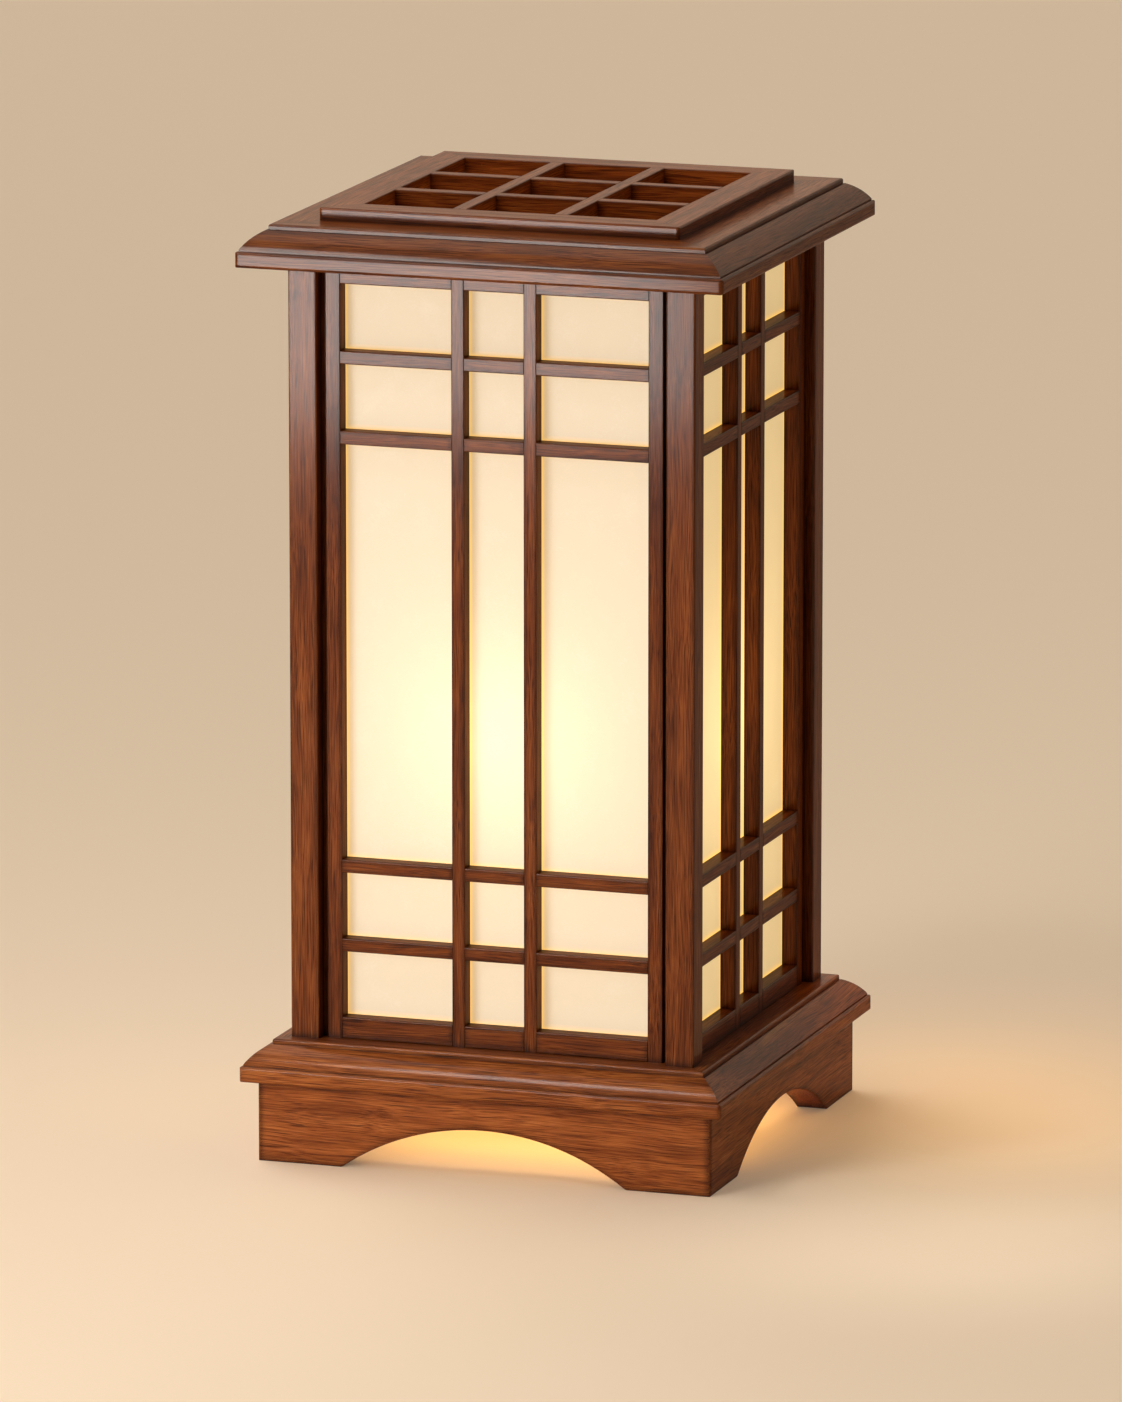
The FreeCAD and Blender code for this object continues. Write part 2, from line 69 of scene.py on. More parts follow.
to_camera = Vector((
    math.sin(CAMERA_AZIMUTH) * math.cos(CAMERA_ELEVATION),
    -math.cos(CAMERA_AZIMUTH) * math.cos(CAMERA_ELEVATION),
    math.sin(CAMERA_ELEVATION),
))
camera = bpy.data.objects.new("camera", bpy.data.cameras.new("camera"))
camera.data.sensor_width = SENSOR
camera.data.lens = SENSOR * FOCAL_PIXELS / PHOTO_HEIGHT
camera.data.clip_end = FARTHEST_SEEN
camera.location = CAMERA_TARGET + to_camera * CAMERA_DISTANCE
camera.rotation_euler = (-to_camera).to_track_quat("-Z", "Y").to_euler()
bpy.context.scene.collection.objects.link(camera)
bpy.context.scene.camera = camera
bpy.context.scene.view_settings.view_transform = "Standard"
print("lens:", round(camera.data.lens, 1), "mm")

# %% [markdown]
# ## Nodes and colours
# Every finish below is a small tree of shader nodes. One function adds a node with its settings and
# links, and one turns a colour as a painter would pick it, an sRGB hex value, into the linear light that
# Blender works in. Patterns are read from the piece's own coordinates in millimetres, so a size in a
# finish is a size on the bench.

# %% Helpers for finishes
MM = 0.001


def linear(hex_colour):
    """An sRGB colour such as "#8a4a2a" as linear RGBA."""
    channels = [int(hex_colour[i:i + 2], 16) / 255 for i in (1, 3, 5)]
    return (*[c / 12.92 if c <= 0.04045 else ((c + 0.055) / 1.055) ** 2.4 for c in channels], 1.0)


def add(tree, kind, inputs=(), stops=(), **settings):
    """Adds a node. Inputs are pairs of a socket and what goes in: another node's socket, or a value.
    Stops are the places and colours of a colour ramp."""
    node = tree.nodes.new("ShaderNode" + kind)
    for name, value in settings.items():
        setattr(node, name, value)
    for socket, value in dict(inputs).items():
        if isinstance(value, bpy.types.NodeSocket):
            tree.links.new(value, node.inputs[socket])
        else:
            node.inputs[socket].default_value = value
    for i, (place, colour) in enumerate(stops):
        element = node.color_ramp.elements[i] if i < 2 else node.color_ramp.elements.new(place)
        element.position = place
        element.color = linear(colour)
    return node


def new_finish(name, **constants):
    """A material, its tree and its main shader, with the values that are the same all over."""
    material = bpy.data.materials.new(name)
    material.use_nodes = True
    shader = material.node_tree.nodes["Principled BSDF"]
    for socket, value in constants.items():
        shader.inputs[socket.replace("_", " ")].default_value = value
    return material, material.node_tree, shader


def millimetres(tree):
    """Points on the piece, in millimetres of the lamp's own frame."""
    place = add(tree, "TexCoord").outputs["Object"]
    return add(tree, "VectorMath", {0: place, "Scale": 1 / MM}, operation="SCALE").outputs[0]


print("middle grey in linear light:", round(linear("#808080")[0], 3))

# %% [markdown]
# ## Stained walnut: where a piece is cut
# The frame is walnut. Its pattern is a three-dimensional noise, read at points that are squeezed along
# the grain, so that it is drawn out along the board. A picture of a board would need unwrapping, and
# would run across joints; a solid pattern doesn't, and it meets itself round each corner as real wood
# does. Each piece reads another part of the pattern, as if it were cut from another place in one large
# block, and the grain wanders a little to the side on its way.

# %% Points in the block
BLOCK = (713.0, 397.0, 571.0)   # mm, the size of the block that the pieces are cut from
WANDER = 2.5                    # mm that the grain wanders to the side
WANDER_LENGTH = 80.0            # mm along the board
WANDER_STRETCH = 3.0            # how many times longer than wide


def squeezed(tree, points, grain, stretch):
    """Points squeezed along the grain, so that what is read there is stretched."""
    scale = [1.0 / stretch if axis == grain else 1.0 for axis in "XYZ"]
    return add(tree, "VectorMath", {0: points, 1: scale}, operation="MULTIPLY").outputs[0]


def board_points(tree, piece, grain):
    """Points in the block for a piece, in mm, with the wandering of the grain."""
    shift = add(tree, "VectorMath", {0: BLOCK, "Scale": piece.outputs["Random"]}, operation="SCALE")
    cut = add(tree, "VectorMath", {0: millimetres(tree), 1: shift.outputs[0]}).outputs[0]
    drift = add(tree, "TexNoise", {"Vector": squeezed(tree, cut, grain, WANDER_STRETCH),
                                   "Scale": WANDER_STRETCH / WANDER_LENGTH, "Detail": 1.0})
    centred = add(tree, "VectorMath", {0: drift.outputs["Color"], 1: (0.5, 0.5, 0.5)},
                  operation="SUBTRACT")
    wander = add(tree, "VectorMath", {0: centred.outputs[0], "Scale": 2 * WANDER}, operation="SCALE")
    return add(tree, "VectorMath", {0: cut, 1: wander.outputs[0]}).outputs[0]


print("the grain wanders by", WANDER, "mm in", WANDER_LENGTH, "mm")

# %% [markdown]
# ## Stained walnut: bands, fibres and pores
# Under the varnish the eye finds three patterns: bands of growth a few millimetres wide, fibres of about
# half a millimetre, and pores, which are dark lines between them. The fibres give the colour, from the
# dark of the stain to the light of the wood, and the bands shade it.

# %% Pattern of the wood
BAND = 6.0             # mm across, one light or dark band of growth
FIBRE = 0.4            # mm across; real fibres are finer, but would not show
PORE = 0.45            # mm across; coarser than real pores, for the same reason
BAND_STRETCH = 18.0    # how many times longer than wide
FIBRE_STRETCH = 55.0
PORE_STRETCH = 70.0
FIBRE_RANGE = (0.32, 0.68)   # of the noise, spread over all the colours
PORE_RANGE = (0.64, 0.74)    # only the peaks of the noise are pores
PORE_DARKNESS = 0.65
FIBRE_COLOURS = [(0.0, "#4e2610"), (1.0, "#ae6832"), (0.4, "#874820")]
BAND_SHADES = [(0.30, "#b4a298"), (0.70, "#ffffff"), (0.5, "#e6dcd6")]
PORE_COLOUR = "#33180c"


def wood_pattern(tree, board, grain):
    """The colour of the wood, how light its fibres are and how deep its pores."""
    bands = add(tree, "TexNoise", {"Vector": squeezed(tree, board, grain, BAND_STRETCH),
                                   "Scale": 1 / BAND, "Detail": 2.0})
    fibres = add(tree, "TexNoise", {"Vector": squeezed(tree, board, grain, FIBRE_STRETCH),
                                    "Scale": 1 / FIBRE, "Detail": 3.0, "Roughness": 0.6})
    pores = add(tree, "TexNoise", {"Vector": squeezed(tree, board, grain, PORE_STRETCH),
                                   "Scale": 1 / PORE, "Detail": 0.0})
    fibre = add(tree, "MapRange", {"Value": fibres.outputs["Fac"], "From Min": FIBRE_RANGE[0],
                                   "From Max": FIBRE_RANGE[1]}).outputs[0]
    pore = add(tree, "MapRange", {"Value": pores.outputs["Fac"], "From Min": PORE_RANGE[0],
                                  "From Max": PORE_RANGE[1], "To Max": PORE_DARKNESS}).outputs[0]
    colour = add(tree, "ValToRGB", {"Fac": fibre}, stops=FIBRE_COLOURS)
    shade = add(tree, "ValToRGB", {"Fac": bands.outputs["Fac"]}, stops=BAND_SHADES)
    banded = add(tree, "Mix", {0: 1.0, 6: colour.outputs[0], 7: shade.outputs[0]},
                 data_type="RGBA", blend_type="MULTIPLY")
    pored = add(tree, "Mix", {0: pore, 6: banded.outputs[2], 7: linear(PORE_COLOUR)}, data_type="RGBA")
    return pored.outputs[2], fibre, pore


print("fibres are", FIBRE * FIBRE_STRETCH, "mm long, pores", PORE * PORE_STRETCH, "mm")

# %% [markdown]
# ## Stained walnut: painted shade in the corners, darker edges
# The red brown stain is wiped off the faces. The corners are darker with painted shade: they are found
# by how much of the air round a point is open, also where a piece stands near another piece or near the
# paper. Every edge is drawn darker as well, found by asking how a rounded edge would turn there. How
# dark the edges of a piece are drawn is the fourth number of its object colour; the other three are its
# tone.

# %% Painted shade and dark edges
CORNER_REACH = 5.0 * MM
CORNER_AIR = 0.2            # open in the deepest corner
# Painted shade: the deepest corner keeps this much of the colour.
CORNER_SHADE = 0.4          # of the colour is left there
EDGE_REACH = 5.0 * MM
EDGE_TURN = (0.75, 0.995)   # cosine of the turn on an edge and on a face
EDGE_DARKENING = 0.2            # of the colour is left on an edge


def painted_shade_and_dark_edges(tree, piece):
    """How much of the colour is left under the painted shade in the corners and the darker edges."""
    air = add(tree, "AmbientOcclusion", {"Distance": CORNER_REACH}, samples=4)
    corner = add(tree, "MapRange", {"Value": air.outputs["AO"], "From Min": CORNER_AIR,
                                    "To Min": CORNER_SHADE})
    rounded = add(tree, "Bevel", {"Radius": EDGE_REACH}, samples=4)
    flat = add(tree, "NewGeometry")
    turn = add(tree, "VectorMath", {0: rounded.outputs[0], 1: flat.outputs["Normal"]},
               operation="DOT_PRODUCT")
    least = add(tree, "Math", {0: piece.outputs["Alpha"], 1: EDGE_DARKENING - 1, 2: 1.0},
                operation="MULTIPLY_ADD")
    edge = add(tree, "MapRange", {"Value": turn.outputs["Value"], "From Min": EDGE_TURN[0],
                                  "From Max": EDGE_TURN[1], "To Min": least.outputs[0]})
    return add(tree, "Math", {0: corner.outputs[0], 1: edge.outputs[0]}, operation="MULTIPLY").outputs[0]


# Corners keep this much of their colour under painted shade, and edges keep this much.
print("of the colour, stain leaves", CORNER_SHADE, "in corners and", EDGE_DARKENING, "on edges")

# %% [markdown]
# ## Stained walnut: the varnish
# The varnish is a thin satin coat over wood that hardly shines by itself: a face keeps its colour until
# a light is mirrored in it. Light fibres are a little smoother than dark ones, and the pores are sunk.

# %% Walnut
FIBRE_GLOSS = (0.46, 0.36)  # roughness of dark and of light fibres
WOOD_RELIEF = 0.05 * MM


def walnut(grain):
    """Stained walnut with its grain along X, Y or Z."""
    material, tree, shader = new_finish(
        "stained_walnut_along_" + grain.lower(), IOR=1.07, Coat_Weight=0.12, Coat_Roughness=0.12,
        Coat_IOR=1.8)
    piece = add(tree, "ObjectInfo")
    colour, fibre, pore = wood_pattern(tree, board_points(tree, piece, grain), grain)
    # The object colour is the board's tone, with painted light and shade in it.
    toned_with_painted_light = add(tree, "Mix", {0: 1.0, 6: colour, 7: piece.outputs["Color"]},
                data_type="RGBA", blend_type="MULTIPLY")
    # Painted shade darkens the corners, and every edge is drawn darker.
    shade_darkened = add(tree, "VectorMath", {0: toned_with_painted_light.outputs[2], "Scale": painted_shade_and_dark_edges(tree, piece)},
                  operation="SCALE")
    gloss = add(tree, "MapRange", {"Value": fibre, "To Min": FIBRE_GLOSS[0], "To Max": FIBRE_GLOSS[1]})
    height = add(tree, "Math", {0: fibre, 1: pore}, operation="SUBTRACT")
    relief = add(tree, "Bump", {"Height": height.outputs[0], "Strength": 0.4, "Distance": WOOD_RELIEF})
    tree.links.new(shade_darkened.outputs[0], shader.inputs["Base Color"])
    tree.links.new(gloss.outputs[0], shader.inputs["Roughness"])
    tree.links.new(relief.outputs[0], shader.inputs["Normal"])
    return material


WALNUT = {grain: walnut(grain) for grain in "XYZ"}
print("walnut, one finish for each way that the grain runs:", list(WALNUT))

# %% [markdown]
# ## Which way the grain runs
# A joiner cuts every piece with its grain along its length. The pieces are named for what they are and
# where they sit, so the name tells the direction: posts, stiles and uprights stand; rails, bars and
# boards lie along their side of the lamp; two of the grille's slats run from front to back. The tone is
# partly the maker's choice of boards and partly painted light and shade. The broad boards of the base
# are the lightest and a little greyer, with painted light from the glowing paper above them and a
# painted sheen. The posts and the lattice are darker and redder, and the cap and the grille are darker
# too, with painted shade. Mouldings have their edges drawn less dark.

# %% Grain and tone
STANDING = ("post", "stiles", "uprights")
TONES_AND_PAINTED_LIGHT = {   # red, green and blue of the tone, with painted light and shade in it, and how dark the edges are drawn
    "skirt": (1.3, 1.3, 1.3, 1.0),
    "base_rail": (1.2, 1.22, 1.26, 0.4),
    "cap_rail": (0.76, 0.73, 0.7, 0.4),
    "grille": (0.86, 0.76, 0.64, 0.3),
    "post": (0.78, 0.7, 0.62, 1.0),
    "panel": (0.76, 0.65, 0.54, 1.0),
    "lamp_bar": (0.9, 0.9, 0.9, 1.0),
}


def grain_of(name):
    """The axis along which the grain of a piece runs."""
    if any(word in name for word in STANDING):
        return "Z"
    if name.startswith("grille_slat"):
        return "Y" if name.endswith(("left", "right")) else "X"
    return "Y" if "left" in name or "right" in name else "X"


wooden = [name for name, node in nodes.items() if node.data.materials[0].name == "walnut"]
for name in wooden:
    nodes[name].data.materials[0] = WALNUT[grain_of(name)]
    # Each piece gets its tone, with painted light and shade in it, and how dark its edges are drawn.
    nodes[name].color = next(tone_with_painted_light for start, tone_with_painted_light in TONES_AND_PAINTED_LIGHT.items() if name.startswith(start))
print("walnut pieces:", len(wooden))

# %% [markdown]
# ## Metal, ceramic, plastic and glass
# The fittings inside are bought parts, each of one plain stuff that has its own small unevenness:
# plating is a little cloudy, brass tarnishes in patches, moulded resin is marbled, and glaze is pitted.
# One function makes them all, because in each of them one noise drives the colour, the gloss and the
# relief together.

# %% Mottled stuff
CLOUD_RANGE = (0.3, 0.7)   # of the noise, spread over both colours


def mottled(name, size, colours, gloss, relief, squeeze=(1.0, 1.0, 1.0), **constants):
    """A finish in which one noise, of a size in mm, runs from the first colour and roughness to the
    second, with a relief in mm."""
    material, tree, shader = new_finish(name, **constants)
    points = add(tree, "VectorMath", {0: millimetres(tree), 1: squeeze}, operation="MULTIPLY").outputs[0]
    cloud = add(tree, "TexNoise", {"Vector": points, "Scale": 1 / size, "Detail": 3.0})
    even = add(tree, "MapRange", {"Value": cloud.outputs["Fac"], "From Min": CLOUD_RANGE[0],
                                  "From Max": CLOUD_RANGE[1]}).outputs[0]
    colour = add(tree, "ValToRGB", {"Fac": even}, stops=[(0.0, colours[0]), (1.0, colours[1])])
    rough = add(tree, "MapRange", {"Value": even, "To Min": gloss[0], "To Max": gloss[1]})
    bump = add(tree, "Bump", {"Height": even, "Strength": 0.5, "Distance": relief * MM})
    tree.links.new(colour.outputs[0], shader.inputs["Base Color"])
    tree.links.new(rough.outputs[0], shader.inputs["Roughness"])
    tree.links.new(bump.outputs[0], shader.inputs["Normal"])
    return material


print("mottled stuff uses the noise from", *CLOUD_RANGE)

# %% [markdown]
# ## The fittings
# Each row below gives a stuff its size of mottling in mm, its two colours, the roughness that goes with
# each, and the relief in mm. The solids come with a slot that says what they are made of, so a finish
# finds its pieces by that word, and no list of pieces is needed.

# %% Fittings
FITTINGS = {
    # pale, with short darker flecks along the dowel
    "beech": mottled("beech", 0.7, ("#b58857", "#dab988"), (0.6, 0.5), 0.03, squeeze=(1.0, 1.0, 0.12)),
    # a cool grey that flickers a little
    "steel": mottled("zinc_plated_steel", 1.5, ("#95989b", "#c6c9cb"), (0.42, 0.28), 0.01, Metallic=1.0),
    # yellow where it is rubbed, brown in the patches that are not
    "brass": mottled("aged_brass", 5.0, ("#8a6834", "#cda75e"), (0.42, 0.24), 0.01, Metallic=1.0),
    # matt black with the fine grain of the mould
    "nylon": mottled("black_nylon", 0.4, ("#151413", "#262422"), (0.62, 0.5), 0.03),
    # almost black, with brown marbling under a shine
    "bakelite": mottled("phenolic_resin", 4.0, ("#1b0f0a", "#3b2113"), (0.3, 0.2), 0.01,
                        Coat_Weight=0.4),
    # milky white with the shine of a glaze
    "porcelain": mottled("glazed_porcelain", 2.5, ("#ded8ca", "#f0ece2"), (0.22, 0.1), 0.02,
                         Coat_Weight=0.6),
    # deep black with a hard shine: glass that is moulded round the contact
    "vitrite": mottled("black_glass", 2.0, ("#0c0a0e", "#1d1920"), (0.18, 0.08), 0.01),
    # clear, with a breath of haze, so that the eye finds its surface
    "bulb_glass": mottled("clear_glass", 9.0, ("#f6f1e8", "#ffffff"), (0.05, 0.02), 0.004,
                          Transmission_Weight=1.0, IOR=1.46),
    # yellow phosphor that glows
    "filament": mottled("filament_phosphor", 1.0, ("#e0a94e", "#f5cf7c"), (0.6, 0.5), 0.02,
                        Emission_Color=(1.0, 0.60, 0.22, 1.0), Emission_Strength=3.0),
}
fitted = [name for name, node in nodes.items() if node.data.materials[0].name in FITTINGS]
for name in fitted:
    nodes[name].data.materials[0] = FITTINGS[nodes[name].data.materials[0].name]
print("fittings:", len(fitted), "finishes:", len(FITTINGS))

# %% [markdown]
# ## The glow of the bulb
# Paper this thin lets much of the bulb's light through, so it glows. The glow is brightest where the
# bulb is nearest, and falls off with the distance from that spot.

# %% Glow
PAPER_THICKNESS = 0.2 * MM
GLOW_RADIUS = 52.0 * MM      # where the bright spot has lost half of its extra light
GLOW_EVERYWHERE = 0.52
GLOW_SPOT = 0.58

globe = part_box("bulb_glass")[1]
bulb_centre = Vector((0.0, 0.0, globe.z - globe.x))
paper_distance = -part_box("panel_front_paper")[0].y - PAPER_THICKNESS


def bulb_glow(tree, reach):
    """How much light comes through the paper at a place, from its way to the bulb."""
    squared = add(tree, "VectorMath", {0: reach, 1: reach}, operation="DOT_PRODUCT").outputs["Value"]
    aside = add(tree, "Math", {0: squared, 1: paper_distance ** 2}, operation="SUBTRACT").outputs[0]
    ratio = add(tree, "Math", {0: aside, 1: GLOW_RADIUS ** -2, 2: 1.0}, operation="MULTIPLY_ADD")
    spot = add(tree, "Math", {0: GLOW_SPOT, 1: ratio.outputs[0]}, operation="DIVIDE")
    return add(tree, "Math", {0: spot.outputs[0], 1: GLOW_EVERYWHERE}).outputs[0]


print("bulb at", round(bulb_centre.z / MM, 1), "mm, paper", round(paper_distance / MM, 1), "mm from it")

# %% [markdown]
# ## Washi
# Washi is made from long fibres, so its light is a little uneven: clouds where the pulp lies thick or
# thin, and curled strands. Less than half of the studio's light comes back from it, so it is a plain
# pale surface with the warm glow added. Along the wood the glow is yellower: partly paste that has
# soaked in, and partly painted light for the shade of the wood and the warm light that it throws back.
# The inner face has less of the glow: there it stands for light that is thrown to and fro between the
# sheets. The object's colour tints the glow of each sheet.

# %% Washi
GLOW_INSIDE = 0.7              # of the glow outside
GLOW_HUE = (1.02, 0.73, 0.41, 1.0)
# Painted light along the wood: a yellower glow, partly soaked-in paste and partly the wood's shade and
# warm bounce.
PASTE_AND_BOUNCE_HUE = (1.7, 0.95, 0.24, 1.0)
CLOUD = 14.0                   # mm across, one thick or thin patch of the sheet
STRAND = 0.5                   # mm across, one fibre
STRANDS_PER_CURL = 10          # the noise is this much coarser, and its distortion draws the fibres
UNEVEN_RANGE = (0.7, 1.3)      # of both noises together
LIGHT_THROUGH = (0.96, 1.04)   # at the ends of that range
PAPER_RELIEF = 0.05 * MM


def washi():
    """Paper with the glow of the bulb, yellower along the wood where the mesh says so: soaked-in glue
    and painted light.
    """
    material, tree, shader = new_finish("washi_paper", Roughness=0.85)
    place = add(tree, "TexCoord").outputs["Object"]
    reach = add(tree, "VectorMath", {0: place, 1: bulb_centre}, operation="SUBTRACT").outputs[0]
    points = millimetres(tree)
    clouds = add(tree, "TexNoise", {"Vector": points, "Scale": 1 / CLOUD, "Detail": 2.0})
    strands = add(tree, "TexNoise", {"Vector": points, "Scale": 1 / (STRANDS_PER_CURL * STRAND),
                                     "Detail": 3.0, "Distortion": 6.0})
    uneven = add(tree, "Math", {0: clouds.outputs["Fac"], 1: strands.outputs["Fac"]}).outputs[0]
    passed = add(tree, "MapRange", {"Value": uneven, "From Min": UNEVEN_RANGE[0],
                                    "From Max": UNEVEN_RANGE[1], "To Min": LIGHT_THROUGH[0],
                                    "To Max": LIGHT_THROUGH[1]})
    through = add(tree, "Math", {0: bulb_glow(tree, reach), 1: passed.outputs[0]}, operation="MULTIPLY")

    face = add(tree, "NewGeometry")
    side = add(tree, "VectorMath", {0: face.outputs["Normal"], 1: reach}, operation="DOT_PRODUCT")
    outer = add(tree, "Math", {0: side.outputs["Value"], 1: 0.0}, operation="GREATER_THAN").outputs[0]
    share = add(tree, "MapRange", {"Value": outer, "To Min": GLOW_INSIDE})
    light = add(tree, "Math", {0: through.outputs[0], 1: share.outputs[0]}, operation="MULTIPLY")

    # The yellower fringe along the wood, partly paste and partly painted light, shows only on the outer
    # face.
    paste_and_bounce = add(tree, "Attribute", attribute_name="paste_and_bounce")
    shown = add(tree, "Math", {0: paste_and_bounce.outputs["Fac"], 1: outer}, operation="MULTIPLY")
    hue = add(tree, "Mix", {0: shown.outputs[0], 6: GLOW_HUE, 7: PASTE_AND_BOUNCE_HUE}, data_type="RGBA")
    sheet = add(tree, "ObjectInfo")
    tinted = add(tree, "Mix", {0: 1.0, 6: hue.outputs[2], 7: sheet.outputs["Color"]},
                 data_type="RGBA", blend_type="MULTIPLY")
    base = add(tree, "ValToRGB", {"Fac": uneven}, stops=[(0.7, "#a9a7a3"), (1.0, "#9f9d99")])
    relief = add(tree, "Bump", {"Height": uneven, "Strength": 0.3, "Distance": PAPER_RELIEF})
    tree.links.new(light.outputs[0], shader.inputs["Emission Strength"])
    tree.links.new(tinted.outputs[2], shader.inputs["Emission Color"])
    tree.links.new(base.outputs[0], shader.inputs["Base Color"])
    tree.links.new(relief.outputs[0], shader.inputs["Normal"])
    return material


WASHI = washi()
print("washi:", len(WASHI.node_tree.nodes), "nodes")

# %% [markdown]
# ## Where the wood is
# The sheet needs lines along every strip of wood behind which it is pasted. They are read from the
# solids: along one axis, the points of a lattice node fall into groups, one for each strip, and the
# openings lie between them.

# %% Openings
BETWEEN_STRIPS = 10 * MM       # strips lie at least this far apart


def strips(name, axis):
    """Where each strip of a node begins and ends along an axis."""
    places = sorted(vertex.co[axis] for vertex in nodes[name].data.vertices)
    found = [[places[0], places[0]]]
    for place in places:
        if place - found[-1][1] > BETWEEN_STRIPS:
            found.append([place, place])
        found[-1][1] = place
    return found


def openings(*groups):
    """The clear spaces between all the strips of these groups."""
    every = sorted(strip for group in groups for strip in group)
    return [(first[1], second[0]) for first, second in zip(every, every[1:])]


COLUMNS = openings(strips("panel_front_stiles", 0), strips("panel_front_uprights", 0))
ROWS = openings(strips("panel_front_rails", 2), strips("panel_front_bars", 2))
widths = [round((end - start) / MM, 1) for start, end in COLUMNS]
print("cells:", len(COLUMNS), "by", len(ROWS), "widths in mm:", widths)

# %% [markdown]
# ## The grid of a sheet
# Each sheet is a grid that is finer beside the wood, where the yellower fringe shows, partly paste and
# partly painted light. One flat face would be simpler, but it could not hang slack, and its four points
# could not tell where the fringe is.

# %% Grid
# Width of the yellower fringe along the wood: paste and painted light.
PASTE_AND_BOUNCE_REACH = 2.6 * MM
PASTE_AND_BOUNCE_STEPS = (0.0, 0.7 * MM, 1.5 * MM, PASTE_AND_BOUNCE_REACH)
PAPER_STEP = 6.0 * MM


def grid_lines(low, high, gaps):
    """Places of the grid's lines across a sheet."""
    places = [low, high]
    for start, end in gaps:
        places += [start + step for step in PASTE_AND_BOUNCE_STEPS] + [end - step for step in PASTE_AND_BOUNCE_STEPS]
        first, last = start + PASTE_AND_BOUNCE_REACH, end - PASTE_AND_BOUNCE_REACH
        count = round((last - first) / PAPER_STEP)
        places += [first + (last - first) * i / count for i in range(1, count)]
    return sorted(places)


def from_wood(place, gaps):
    """How far a place lies inside its opening; nothing behind the wood."""
    return max(0.0, max(min(place - start, end - place) for start, end in gaps))


sheet_low, sheet_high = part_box("panel_front_paper")
across = grid_lines(sheet_low.x, sheet_high.x, COLUMNS)
upward = grid_lines(sheet_low.z, sheet_high.z, ROWS)
print("grid:", len(across), "by", len(upward), "lines")

# %% [markdown]
# ## The shape of a sheet
# All four sheets are the front one, turned. Each hangs a hair slack in its openings, in its own way, and
# each of its points remembers how much of the yellower fringe it has: soaked-in paste and painted light.

# %% Shape of a sheet
PAPER_SLACK = 0.15 * MM
WAVES_PER_METRE = 40           # of the slack, which differs from cell to cell


def sheet_mesh(name, quarter):
    """A sheet turned by some quarters of a circle, from the front to its own side of the lamp."""
    grid = bmesh.new()
    paste_and_bounce_layer = grid.verts.layers.float.new("paste_and_bounce")
    lattice = []
    for z in upward:
        for x in across:
            inside = min(from_wood(x, COLUMNS), from_wood(z, ROWS))
            free = min(1.0, inside / PASTE_AND_BOUNCE_REACH)
            waver = 0.5 + 0.5 * noise.noise(Vector((x, z, quarter)) * WAVES_PER_METRE)
            vertex = grid.verts.new((x, sheet_low.y + PAPER_SLACK * free * waver, z))
            # The fringe along the wood: paste and painted light.
            vertex[paste_and_bounce_layer] = (1.0 - free) ** 2
            lattice.append(vertex)
    for row in range(len(upward) - 1):
        for column in range(len(across) - 1):
            corner = row * len(across) + column
            above = corner + len(across)
            grid.faces.new([lattice[i] for i in (corner, corner + 1, above + 1, above)])
    grid.transform(Matrix.Rotation(quarter * math.pi / 2, 4, "Z"))
    mesh = bpy.data.meshes.new(name)
    grid.to_mesh(mesh)
    grid.free()
    mesh.shade_smooth()
    mesh.materials.append(WASHI)
    return mesh


print("points in a sheet:", len(across) * len(upward))

# %% [markdown]
# ## The paper sheets
# A Solidify modifier gives each sheet the thickness of paper, so that the shape is drawn once and its
# two faces stay alike. The sheets at the right and left glow a little brighter and yellower than the
# other two: painted light, for sides that the studio's lights leave in shade. Each sheet stands in for
# the flat solid of its panel, and rests on the wood behind which it is pasted.

# %% Paper
PLAIN = (1.0, 1.0, 1.0, 1.0)
# Painted light: the side sheets glow brighter and yellower, for the sides that the studio's lights leave
# in shade.
PAINTED_SIDE_GLOW = (1.12, 1.1, 0.88, 1.0)
SHEETS = {"front": PLAIN, "right": PAINTED_SIDE_GLOW, "back": PLAIN, "left": PAINTED_SIDE_GLOW}

for quarter, (side, tint) in enumerate(SHEETS.items()):
    paper = bpy.data.objects.new("paper_" + side, sheet_mesh("paper_" + side, quarter))
    paper.color = tint
    bpy.context.scene.collection.objects.link(paper)
    solidify = paper.modifiers.new("thickness", "SOLIDIFY")
    solidify.thickness = PAPER_THICKNESS
    solidify.offset = -1.0
    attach(paper, "lamp")
    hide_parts(f"panel_{side}_paper")

# %% [markdown]
# ## The floor
# The lamp stands on a plain floor, painted in a pale sand colour, that runs on into the background. A
# little of its own colour is added for the camera, for reflections and for what is seen through glass.
# So the floor looks pale without more light on the lamp, and the shadow and the warm pool round the
# base stay on it.

# %% Floor
FLOOR_COLOUR = linear("#f1dabd")
FLOOR_LIFT = 0.165
FLOOR_RADIUS = 25


def looked_at(tree):
    """One for what is seen by the camera, in a reflection or through glass; nothing for light that
    falls."""
    path = add(tree, "LightPath")
    direct = add(tree, "Math", {0: path.outputs["Is Camera Ray"], 1: path.outputs["Is Glossy Ray"]},
                 operation="MAXIMUM")
    return add(tree, "Math", {0: direct.outputs[0], 1: path.outputs["Is Transmission Ray"]},
               operation="MAXIMUM").outputs[0]


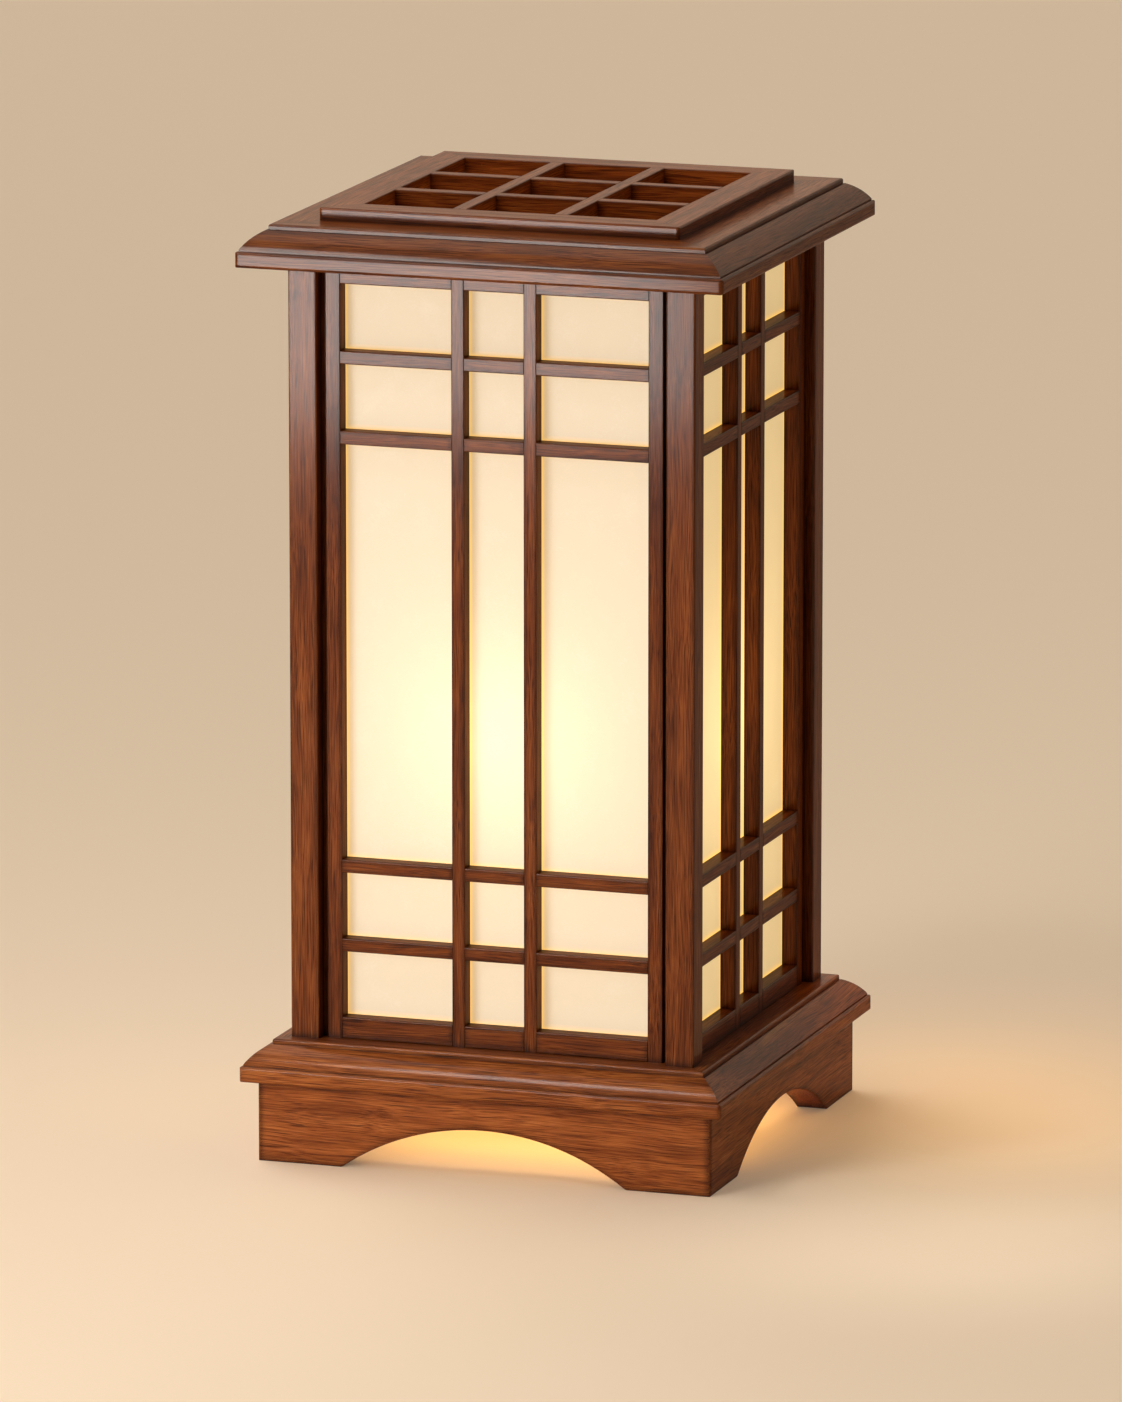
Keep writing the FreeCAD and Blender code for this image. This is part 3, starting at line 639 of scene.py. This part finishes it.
floor_mesh = bpy.data.meshes.new("floor")
disc = bmesh.new()
bmesh.ops.create_circle(disc, cap_ends=True, radius=FLOOR_RADIUS, segments=64)
disc.to_mesh(floor_mesh)
disc.free()
floor = bpy.data.objects.new("floor", floor_mesh)
bpy.context.scene.collection.objects.link(floor)
floor_paint, tree, shader = new_finish(
    "floor_paint", Base_Color=FLOOR_COLOUR, Emission_Color=FLOOR_COLOUR, Roughness=0.75)
lift = add(tree, "Math", {0: looked_at(tree), 1: FLOOR_LIFT}, operation="MULTIPLY")
tree.links.new(lift.outputs[0], shader.inputs["Emission Strength"])
floor_mesh.materials.append(floor_paint)
print("floor: radius", FLOOR_RADIUS, "m, lifted by", FLOOR_LIFT)

# %% [markdown]
# ## The room
# The world stands for the walls of the studio. It gives little light by itself, but in the varnish and
# the metal it is a bright wall, which puts a sheen on every surface that is seen at a flat angle.

# %% World
ROOM_COLOUR = linear("#f2dcc2")
ROOM_LIGHT = 0.03
ROOM_BRIGHTNESS = 1.6

world = bpy.data.worlds.new("studio")
bpy.context.scene.world = world
world.use_nodes = True
room = world.node_tree.nodes["Background"]
level = add(world.node_tree, "MapRange", {"Value": looked_at(world.node_tree), "To Min": ROOM_LIGHT,
                                          "To Max": ROOM_BRIGHTNESS})
room.inputs["Color"].default_value = ROOM_COLOUR
world.node_tree.links.new(level.outputs[0], room.inputs["Strength"])
print("room: light", ROOM_LIGHT, "seen as", ROOM_BRIGHTNESS)

# %% [markdown]
# ## The studio's lights
# A low softbox at the front left lights the front and leaves the right side dark, and its mirror image
# gives the sheen on the upper part of the posts. A grid on it keeps its light off the floor nearby. A
# wide one above it fills the mouldings, and a small one higher up lights their upper edges. A very soft
# light from above on the left lights the floor and throws the shadow to the right, where a small light
# over the floor softens it.

# %% Studio lights
DAYLIGHT = (1.0, 0.97, 0.93)   # linear, as all colours of light


def lamp(name, kind, place, target, energy, colour, **settings):
    """A light at a place, turned to a target; its own shape isn't seen, not through glass either."""
    light = bpy.data.objects.new(name, bpy.data.lights.new(name, kind))
    light.data.energy = energy
    light.data.color = colour
    for setting, value in settings.items():
        setattr(light.data, setting, value)
    light.location = place
    light.rotation_euler = (Vector(target) - Vector(place)).to_track_quat("-Z", "Y").to_euler()
    light.visible_camera = False
    light.visible_transmission = False
    bpy.context.scene.collection.objects.link(light)
    return light


studio = [
    lamp("low_softbox", "AREA", (-0.58, -1.34, 0.24), (0, 0, 0.23), 2.9, DAYLIGHT,
         shape="RECTANGLE", size=0.56, size_y=0.26, spread=math.radians(90)),
    lamp("high_softbox", "AREA", (-0.85, -1.50, 0.95), (0, 0, 0.25), 6.0, DAYLIGHT,
         shape="RECTANGLE", size=0.9, size_y=0.7),
    lamp("edge_softbox", "AREA", (-0.40, -0.60, 1.25), (0, 0, 0.25), 2.0, DAYLIGHT,
         shape="RECTANGLE", size=0.21, size_y=0.165),
    lamp("overhead", "SUN", (-0.65, 0.25, 0.72), (0, 0, 0), 1.5, DAYLIGHT, angle=math.radians(60)),
    lamp("shadow_fill", "AREA", (0.24, -0.16, 0.15), (0.24, -0.16, 0), 0.04, DAYLIGHT,
         shape="RECTANGLE", size=0.2, size_y=0.2, spread=math.radians(100)),
]
print("studio lights:", [light.name for light in studio])

# %% [markdown]
# ## The lamp's own light
# The bulb lights the inside, and its glass throws no shadow. Paper scatters its light in a way that a
# glowing surface alone doesn't show, so two small lamps help it: one under the lamp bar, for the light
# that leaves through the arches, and one beside the right-hand panel, for the glow that falls on the
# floor there.

# %% Lights of the lamp
CANDLE = (1.0, 0.68, 0.34)
AMBER = (1.0, 0.56, 0.09)
BULB_SOFTNESS = 20 * MM
ARCH_GLOW_X = 20 * MM       # nearer to the right-hand arch, which the camera sees at a flat angle
BESIDE_PANEL = Vector((0.17, 0.10, 0.13))
OUT_AND_DOWN = Vector((0.5, 0.3, -1.0))

under_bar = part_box("lamp_bar")[0].z - 1 * MM
own = [
    lamp("bulb_light", "POINT", bulb_centre, (0, 0, 0), 0.8, CANDLE, shadow_soft_size=BULB_SOFTNESS),
    lamp("arch_glow", "AREA", (ARCH_GLOW_X, 0, under_bar), (ARCH_GLOW_X, 0, 0), 0.095, AMBER,
         shape="RECTANGLE", size=0.18, size_y=0.14),
    lamp("panel_glow", "AREA", BESIDE_PANEL, BESIDE_PANEL + OUT_AND_DOWN, 0.10, AMBER,
         shape="RECTANGLE", size=0.24, size_y=0.1),
]
nodes["bulb_glass"].visible_shadow = False
print("lights of the lamp:", [light.name for light in own])
